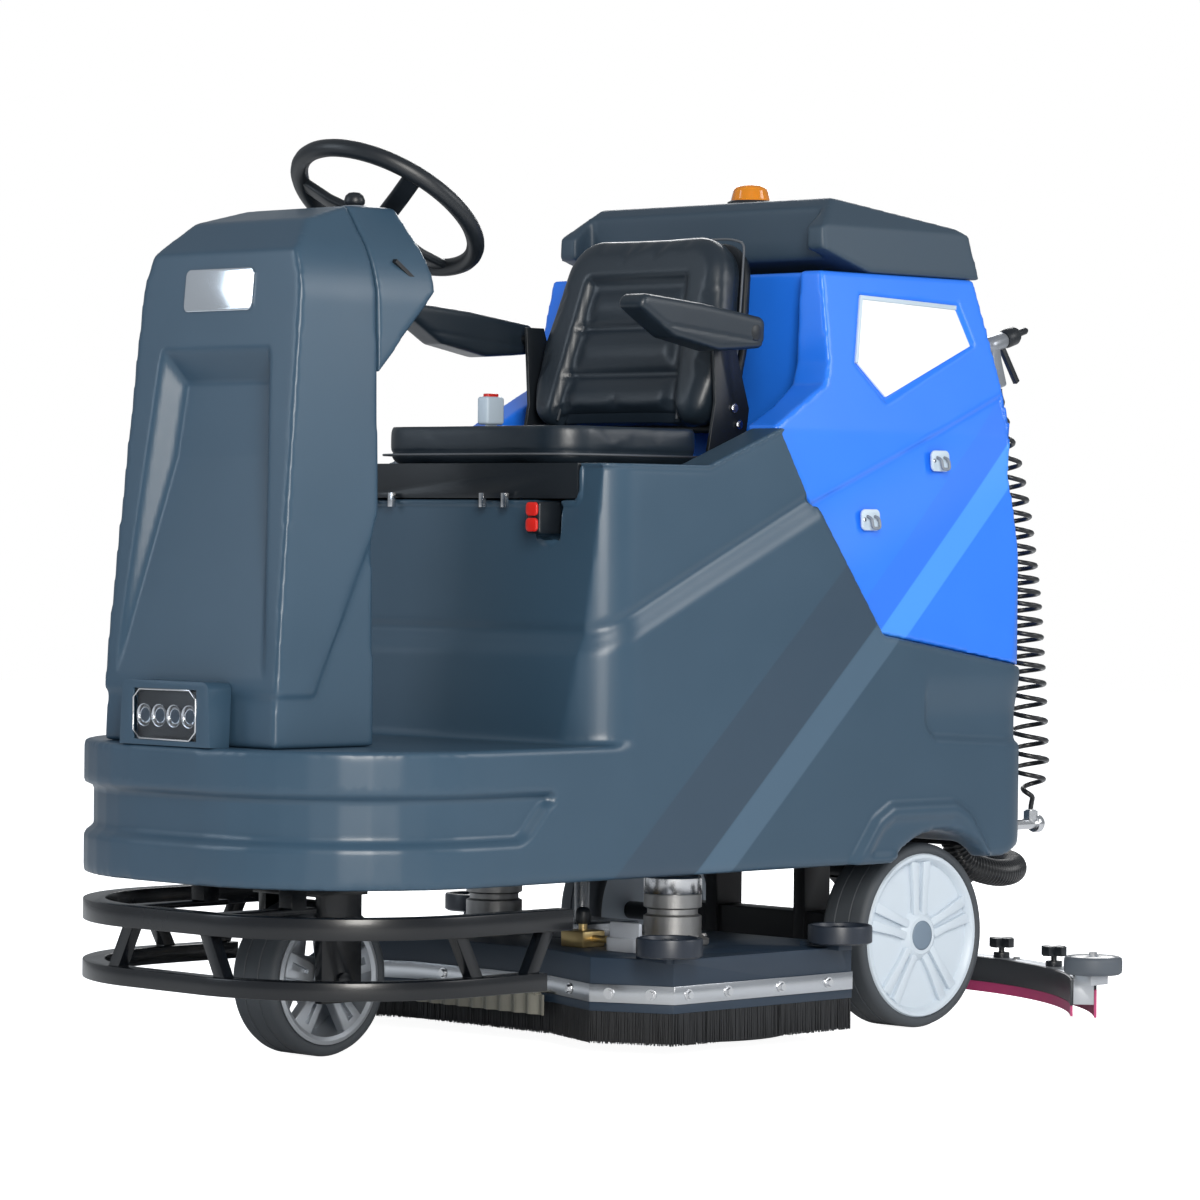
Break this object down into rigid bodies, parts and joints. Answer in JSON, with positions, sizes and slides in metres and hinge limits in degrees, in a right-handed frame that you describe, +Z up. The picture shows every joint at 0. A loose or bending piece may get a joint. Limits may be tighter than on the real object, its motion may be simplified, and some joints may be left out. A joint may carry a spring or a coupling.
{
  "type": "ride on scrubber",
  "caption": "Ride-on floor scrubber: driver's seat and steering column on a low platform, disc brush deck, curved rear squeegee and a tall recovery tank.",
  "frame": {"origin": "on the floor under the middle of the machine's box, hoses left out", "axes": "+Z up, the nose points to -Y, the driver's left is +X"},
  "size_m": [1.112, 1.812, 1.3951],
  "materials": {
    "frame_steel": "satin black",
    "actuator_alloy": "machined",
    "body_plastic": "rotomoulded satin slate",
    "battery_plastic": "matte",
    "guard_steel": "gloss black powder coat",
    "lens_glass": "clear",
    "black_plastic": "satin",
    "bright_steel": "bright",
    "wheel_silver": "satin",
    "tyre_rubber": "matte",
    "wheel_grey": "satin light grey",
    "tank_blue": "rotomoulded blue",
    "beacon_amber": "translucent amber",
    "seat_vinyl": "soft sheen vinyl",
    "grey_plastic": "satin",
    "red_plastic": "gloss",
    "deck_plastic": "satin",
    "stainless": "brushed",
    "bristle_black": "bristle",
    "cast_alloy": "as cast",
    "roller_rubber": "matte",
    "blade_rubber": "pink rubber",
    "squeegee_alloy": "satin",
    "plate_pale": "gloss",
    "hose_black": "satin"
  },
  "bodies": {
    "chassis": {"chassis_frame": "frame_steel", "rear_axle": "frame_steel", "lift_actuator": "actuator_alloy", "main_body": "body_plastic", "battery_pack": "battery_plastic", "front_guard": "guard_steel", "column_cowl": "body_plastic", "dash_pod": "body_plastic", "steering_column": "frame_steel", "headlight_bezel": "body_plastic", "headlight_lens": "lens_glass", "hinge_brackets": "bright_steel", "recovery_tank": "tank_blue", "vacuum_motor": "actuator_alloy", "name_plates": "plate_pale", "tank_fittings": "stainless", "spray_gun": "black_plastic", "spray_hose": "hose_black", "vacuum_hose": "hose_black"},
    "steering": {"steering_wheel": "black_plastic", "steering_shaft": "bright_steel"},
    "speed_knob": {"speed_knob": "black_plastic"},
    "pedal": {"accelerator_pedal": "black_plastic"},
    "fork": {"front_fork": "guard_steel", "drive_motor": "frame_steel"},
    "front_wheel": {"front_rim": "wheel_silver", "front_tyre": "tyre_rubber"},
    "rear_wheel_left": {"rear_rim_left": "wheel_grey", "rear_tyre_left": "tyre_rubber"},
    "rear_wheel_right": {"rear_rim_right": "wheel_grey", "rear_tyre_right": "tyre_rubber"},
    "lid": {"tank_lid": "body_plastic", "beacon_lens": "beacon_amber"},
    "seat": {"seat_plate": "black_plastic", "seat_cushion": "seat_vinyl", "seat_back": "seat_vinyl", "seat_brackets": "guard_steel", "belt_buckle": "grey_plastic"},
    "armrest_left": {"armrest_left": "black_plastic"},
    "armrest_right": {"armrest_right": "black_plastic"},
    "buckle_button": {"buckle_button": "red_plastic"},
    "deck": {"deck_housing": "deck_plastic", "deck_band": "stainless", "deck_skirt": "bristle_black", "brush_motors": "actuator_alloy", "lift_rod": "bright_steel", "deck_fittings": "cast_alloy"},
    "left_brush": {"left_brush": "bristle_black"},
    "right_brush": {"right_brush": "bristle_black"},
    "roller_front_left": {"roller_front_left": "roller_rubber"},
    "roller_front_right": {"roller_front_right": "roller_rubber"},
    "roller_rear_left": {"roller_rear_left": "roller_rubber"},
    "roller_rear_right": {"roller_rear_right": "roller_rubber"},
    "squeegee_arm": {"squeegee_arm": "guard_steel"},
    "squeegee": {"squeegee_blades": "blade_rubber", "squeegee_bar": "squeegee_alloy", "squeegee_knobs": "black_plastic"},
    "side_wheel_left": {"side_wheel_left": "grey_plastic"},
    "side_wheel_right": {"side_wheel_right": "grey_plastic"},
    "gun_trigger": {"gun_trigger": "bright_steel"}
  },
  "joints": [
    {"name": "front_fork_steer", "type": "hinge", "parent": "chassis", "child": "fork", "pos_m": [0, -0.611, 0.296], "axis": [0, 0, 1], "range_deg": [-70, 70]},
    {"name": "steering_wheel_turn", "type": "hinge", "parent": "chassis", "child": "steering", "pos_m": [0, -0.465, 1.296], "axis": [0, 0.5678, 0.8231], "range_deg": [-210, 210]},
    {"name": "speed_knob_turn", "type": "hinge", "parent": "chassis", "child": "speed_knob", "pos_m": [0.078, -0.604, 1.3], "axis": [0, 0, 1], "range_deg": [-140, 140]},
    {"name": "accelerator_press", "type": "hinge", "parent": "chassis", "child": "pedal", "pos_m": [-0.143, -0.516, 0.494], "axis": [1, 0, 0], "range_deg": [0, 16], "stiffness_Nm_per_rad": 8, "springref_deg": -20.05},
    {"name": "front_wheel_spin", "type": "hinge", "parent": "fork", "child": "front_wheel", "pos_m": [0, -0.611, 0.118], "axis": [1, 0, 0], "continuous": true},
    {"name": "rear_wheel_left_spin", "type": "hinge", "parent": "chassis", "child": "rear_wheel_left", "pos_m": [0.3, 0.415, 0.15], "axis": [1, 0, 0], "continuous": true},
    {"name": "rear_wheel_right_spin", "type": "hinge", "parent": "chassis", "child": "rear_wheel_right", "pos_m": [-0.3, 0.415, 0.15], "axis": [1, 0, 0], "continuous": true},
    {"name": "lid_open", "type": "hinge", "parent": "chassis", "child": "lid", "pos_m": [0, 0.594, 1.224], "axis": [-1, 0, 0], "range_deg": [0, 80]},
    {"name": "seat_tip", "type": "hinge", "parent": "chassis", "child": "seat", "pos_m": [0, -0.354, 0.855], "axis": [1, 0, 0], "range_deg": [0, 50]},
    {"name": "armrest_left_fold", "type": "hinge", "parent": "seat", "child": "armrest_left", "pos_m": [0.262, 0.062, 1.118], "axis": [-1, 0, 0], "range_deg": [0, 75]},
    {"name": "armrest_right_fold", "type": "hinge", "parent": "seat", "child": "armrest_right", "pos_m": [-0.262, 0.062, 1.118], "axis": [-1, 0, 0], "range_deg": [0, 75]},
    {"name": "buckle_button_press", "type": "slide", "parent": "seat", "child": "buckle_button", "axis": [0, 0, -1], "range_m": [0, 0.0025], "stiffness_N_per_m": 400, "springref_m": -0.002},
    {"name": "deck_lift", "type": "slide", "parent": "chassis", "child": "deck", "axis": [0, 0, 1], "range_m": [-0.014, 0.022]},
    {"name": "left_brush_spin", "type": "hinge", "parent": "deck", "child": "left_brush", "pos_m": [0.203, -0.025, 0.1], "axis": [0, 0, 1], "continuous": true},
    {"name": "right_brush_spin", "type": "hinge", "parent": "deck", "child": "right_brush", "pos_m": [-0.203, -0.025, 0.1], "axis": [0, 0, 1], "continuous": true},
    {"name": "roller_front_left_spin", "type": "hinge", "parent": "deck", "child": "roller_front_left", "pos_m": [0.415, -0.252, 0.172], "axis": [0, 0, 1], "continuous": true},
    {"name": "roller_front_right_spin", "type": "hinge", "parent": "deck", "child": "roller_front_right", "pos_m": [-0.415, -0.252, 0.172], "axis": [0, 0, 1], "continuous": true},
    {"name": "roller_rear_left_spin", "type": "hinge", "parent": "deck", "child": "roller_rear_left", "pos_m": [0.415, 0.135, 0.172], "axis": [0, 0, 1], "continuous": true},
    {"name": "roller_rear_right_spin", "type": "hinge", "parent": "deck", "child": "roller_rear_right", "pos_m": [-0.415, 0.135, 0.172], "axis": [0, 0, 1], "continuous": true},
    {"name": "squeegee_lift", "type": "hinge", "parent": "chassis", "child": "squeegee_arm", "pos_m": [0, 0.606, 0.232], "axis": [1, 0, 0], "range_deg": [-2, 9], "deforming": ["vacuum_hose"]},
    {"name": "squeegee_swing", "type": "hinge", "parent": "squeegee_arm", "child": "squeegee", "pos_m": [0, 0.79, 0.1], "axis": [0, 0, 1], "range_deg": [-12, 12]},
    {"name": "side_wheel_left_spin", "type": "hinge", "parent": "squeegee", "child": "side_wheel_left", "pos_m": [0.508, 0.652, 0.1], "axis": [0, 0, 1], "continuous": true},
    {"name": "side_wheel_right_spin", "type": "hinge", "parent": "squeegee", "child": "side_wheel_right", "pos_m": [-0.508, 0.652, 0.1], "axis": [0, 0, 1], "continuous": true},
    {"name": "gun_trigger_squeeze", "type": "hinge", "parent": "chassis", "child": "gun_trigger", "pos_m": [0.285, 0.665, 1.11832], "axis": [-1, 0, 0], "range_deg": [0, 16], "stiffness_Nm_per_rad": 0.4, "springref_deg": -17.19}
  ],
  "couplings": [
    {"joint": "steering_wheel_turn", "follows": "front_fork_steer", "ratio": 3},
    {"joint": "right_brush_spin", "follows": "left_brush_spin", "ratio": -1}
  ]
}
